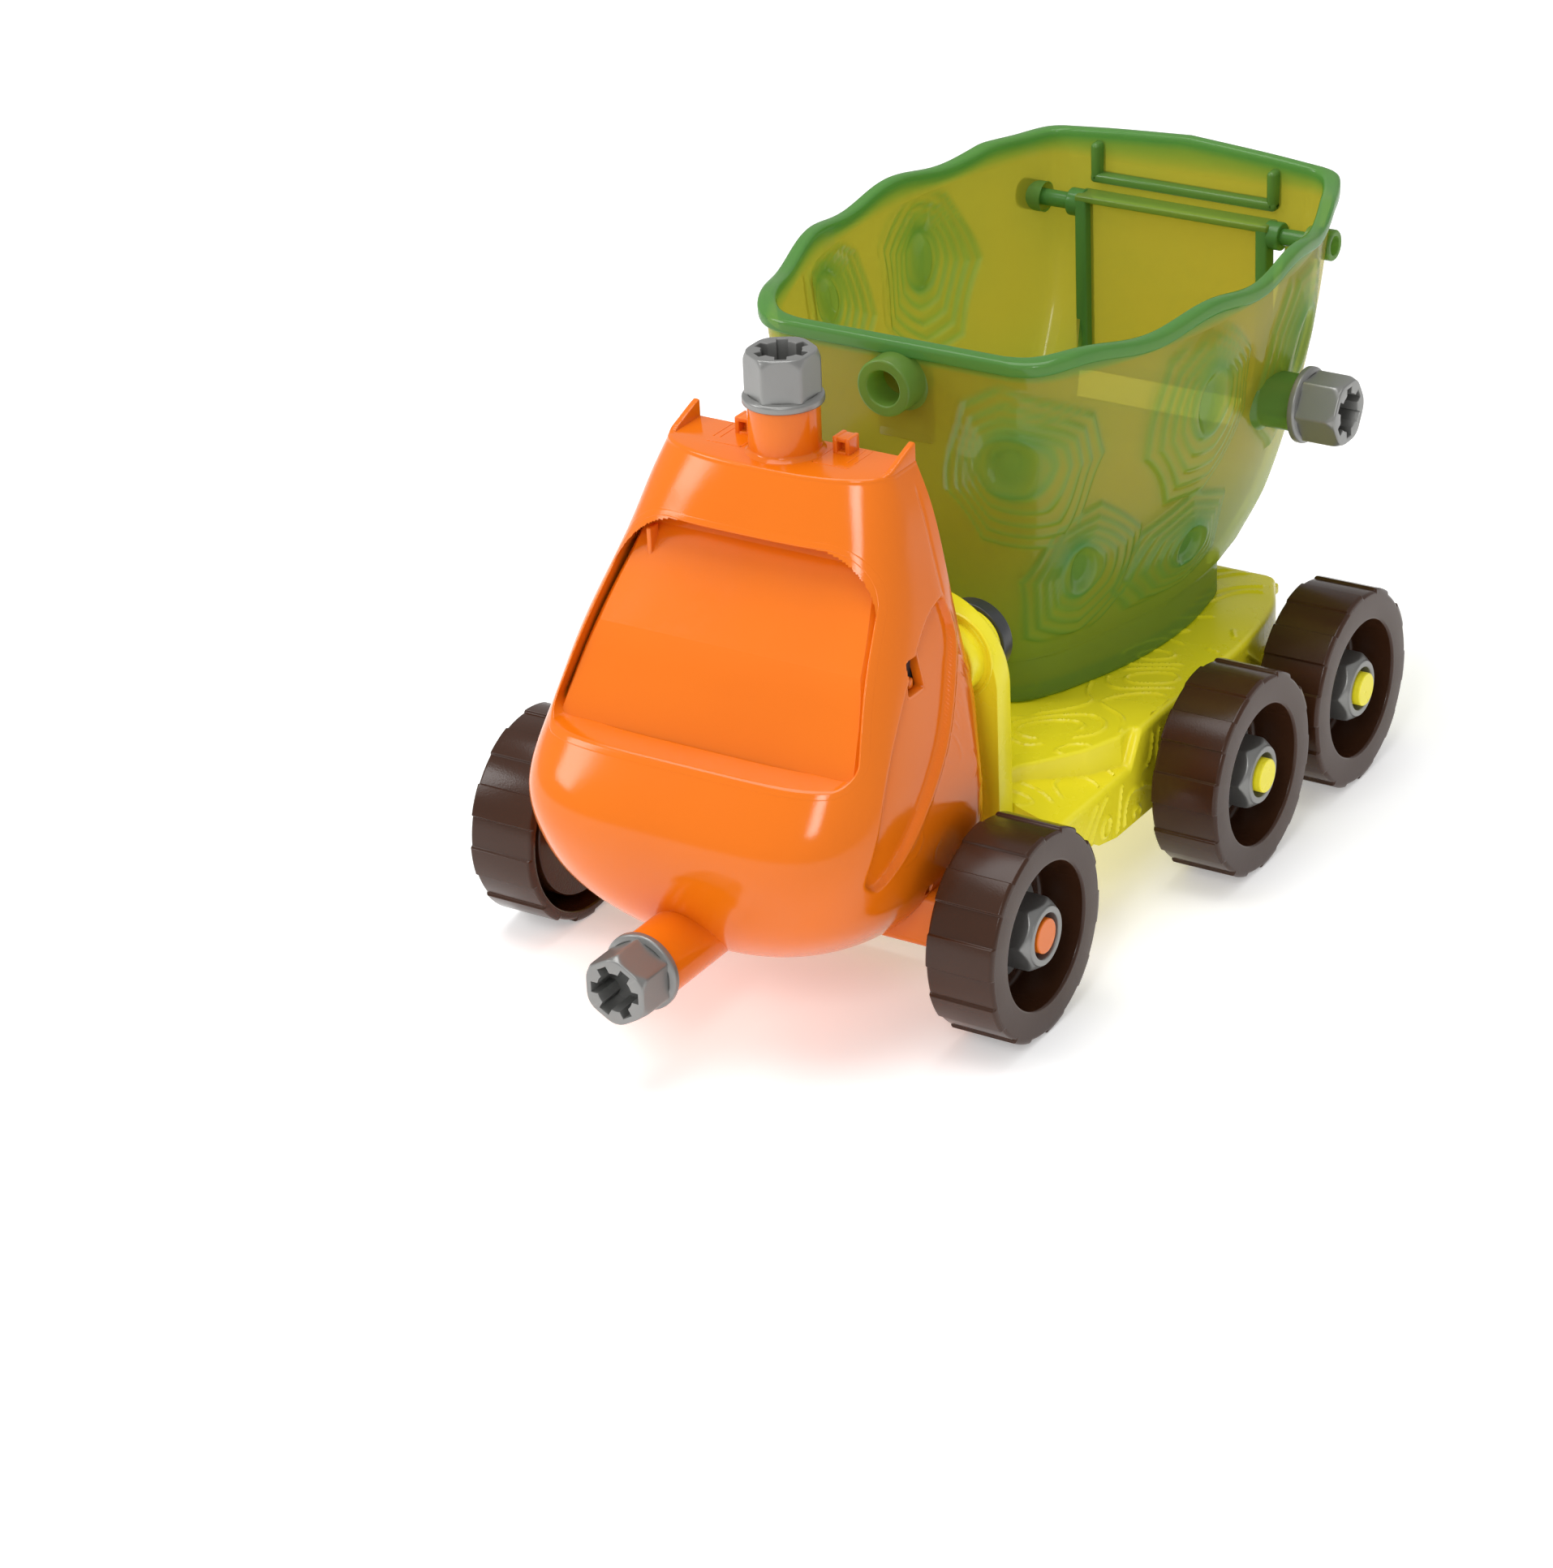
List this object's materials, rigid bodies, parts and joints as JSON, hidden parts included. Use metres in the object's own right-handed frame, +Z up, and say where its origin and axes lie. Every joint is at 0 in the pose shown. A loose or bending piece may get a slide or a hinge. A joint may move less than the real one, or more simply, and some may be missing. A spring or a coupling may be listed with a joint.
{
  "type": "take-apart toy tipper truck",
  "caption": "Take-apart toy truck with a bulging cab, large hexagon-headed bolts, cupped wheels held by hexagon nuts and a tipping translucent hopper with a hinged tailgate.",
  "frame": {"origin": "on the floor under the middle of the bounding box", "axes": "+Z up, nose of the cab towards -Y, tailgate towards +Y, +X the truck's left-hand side"},
  "size_m": [0.217, 0.381, 0.209],
  "materials": {
    "orange_plastic": "glossy moulded",
    "lime_plastic": "satin gloss moulded, raised grain lines",
    "brown_plastic": "semi-gloss moulded",
    "silver_plastic": "satin metallic-pigment plastic",
    "green_clear_plastic": "translucent tinted",
    "dark_grey_plastic": "satin moulded",
    "steel_pin": "ground"
  },
  "bodies": {
    "truck": {"cab_shell": "orange_plastic", "cab_liner": "orange_plastic", "cab_back": "orange_plastic", "front_axle": "orange_plastic", "chassis_deck": "lime_plastic", "underframe": "lime_plastic", "underframe_screws": "steel_pin", "mid_axle": "lime_plastic", "rear_axle": "lime_plastic", "pivot_pin": "steel_pin"},
    "hopper": {"tub": "green_clear_plastic"},
    "tailgate_flap": {"tailgate": "green_clear_plastic"},
    "roof_bolt": {"roof_bolt": "silver_plastic"},
    "bumper_bolt": {"bumper_bolt": "silver_plastic"},
    "side_bolt": {"side_bolt": "silver_plastic"},
    "cab_bolt_left": {"cab_bolt_left": "dark_grey_plastic"},
    "cab_bolt_right": {"cab_bolt_right": "dark_grey_plastic"},
    "wheel_front_left": {"wheel_front_left": "brown_plastic"},
    "nut_front_left": {"nut_front_left": "silver_plastic"},
    "wheel_front_right": {"wheel_front_right": "brown_plastic"},
    "nut_front_right": {"nut_front_right": "silver_plastic"},
    "wheel_mid_left": {"wheel_mid_left": "brown_plastic"},
    "nut_mid_left": {"nut_mid_left": "silver_plastic"},
    "wheel_mid_right": {"wheel_mid_right": "brown_plastic"},
    "nut_mid_right": {"nut_mid_right": "silver_plastic"},
    "wheel_rear_left": {"wheel_rear_left": "brown_plastic"},
    "nut_rear_left": {"nut_rear_left": "silver_plastic"},
    "wheel_rear_right": {"wheel_rear_right": "brown_plastic"},
    "nut_rear_right": {"nut_rear_right": "silver_plastic"}
  },
  "joints": [
    {"name": "hopper_tip", "type": "hinge", "parent": "truck", "child": "hopper", "pos_m": [0, 0.1185, 0.052], "axis": [-1, 0, 0], "range_deg": [0, 40]},
    {"name": "tailgate_swing", "type": "hinge", "parent": "hopper", "child": "tailgate_flap", "pos_m": [0, 0.1775, 0.166], "axis": [1, 0, 0], "range_deg": [-8, 65]},
    {"name": "wheel_front_left_spin", "type": "hinge", "parent": "truck", "child": "wheel_front_left", "pos_m": [0.086, -0.0945, 0.035], "axis": [1, 0, 0], "continuous": true},
    {"name": "nut_front_left_spin", "type": "hinge", "parent": "truck", "child": "nut_front_left", "pos_m": [0.09, -0.0945, 0.035], "axis": [1, 0, 0], "continuous": true},
    {"name": "wheel_front_right_spin", "type": "hinge", "parent": "truck", "child": "wheel_front_right", "pos_m": [-0.086, -0.0945, 0.035], "axis": [1, 0, 0], "continuous": true},
    {"name": "nut_front_right_spin", "type": "hinge", "parent": "truck", "child": "nut_front_right", "pos_m": [-0.09, -0.0945, 0.035], "axis": [1, 0, 0], "continuous": true},
    {"name": "wheel_mid_left_spin", "type": "hinge", "parent": "truck", "child": "wheel_mid_left", "pos_m": [0.0948, 0.0363, 0.035], "axis": [1, 0, 0], "continuous": true},
    {"name": "nut_mid_left_spin", "type": "hinge", "parent": "truck", "child": "nut_mid_left", "pos_m": [0.0988, 0.0363, 0.035], "axis": [1, 0, 0], "continuous": true},
    {"name": "wheel_mid_right_spin", "type": "hinge", "parent": "truck", "child": "wheel_mid_right", "pos_m": [-0.0948, 0.0363, 0.035], "axis": [1, 0, 0], "continuous": true},
    {"name": "nut_mid_right_spin", "type": "hinge", "parent": "truck", "child": "nut_mid_right", "pos_m": [-0.0988, 0.0363, 0.035], "axis": [1, 0, 0], "continuous": true},
    {"name": "wheel_rear_left_spin", "type": "hinge", "parent": "truck", "child": "wheel_rear_left", "pos_m": [0.0948, 0.1105, 0.035], "axis": [1, 0, 0], "continuous": true},
    {"name": "nut_rear_left_spin", "type": "hinge", "parent": "truck", "child": "nut_rear_left", "pos_m": [0.0988, 0.1105, 0.035], "axis": [1, 0, 0], "continuous": true},
    {"name": "wheel_rear_right_spin", "type": "hinge", "parent": "truck", "child": "wheel_rear_right", "pos_m": [-0.0948, 0.1105, 0.035], "axis": [1, 0, 0], "continuous": true},
    {"name": "nut_rear_right_spin", "type": "hinge", "parent": "truck", "child": "nut_rear_right", "pos_m": [-0.0988, 0.1105, 0.035], "axis": [1, 0, 0], "continuous": true},
    {"name": "roof_bolt_spin", "type": "hinge", "parent": "truck", "child": "roof_bolt", "pos_m": [0, -0.081, 0.2], "axis": [0, 0, 1], "continuous": true},
    {"name": "bumper_bolt_spin", "type": "hinge", "parent": "truck", "child": "bumper_bolt", "pos_m": [0, -0.1825, 0.0365], "axis": [0, -1, 0], "continuous": true},
    {"name": "side_bolt_spin", "type": "hinge", "parent": "hopper", "child": "side_bolt", "pos_m": [0.095, 0.1055, 0.138], "axis": [1, 0, 0], "continuous": true},
    {"name": "cab_bolt_left_spin", "type": "hinge", "parent": "truck", "child": "cab_bolt_left", "pos_m": [0.044, -0.0435, 0.105], "axis": [0, 1, 0], "continuous": true},
    {"name": "cab_bolt_right_spin", "type": "hinge", "parent": "truck", "child": "cab_bolt_right", "pos_m": [-0.044, -0.0435, 0.105], "axis": [0, 1, 0], "continuous": true}
  ]
}
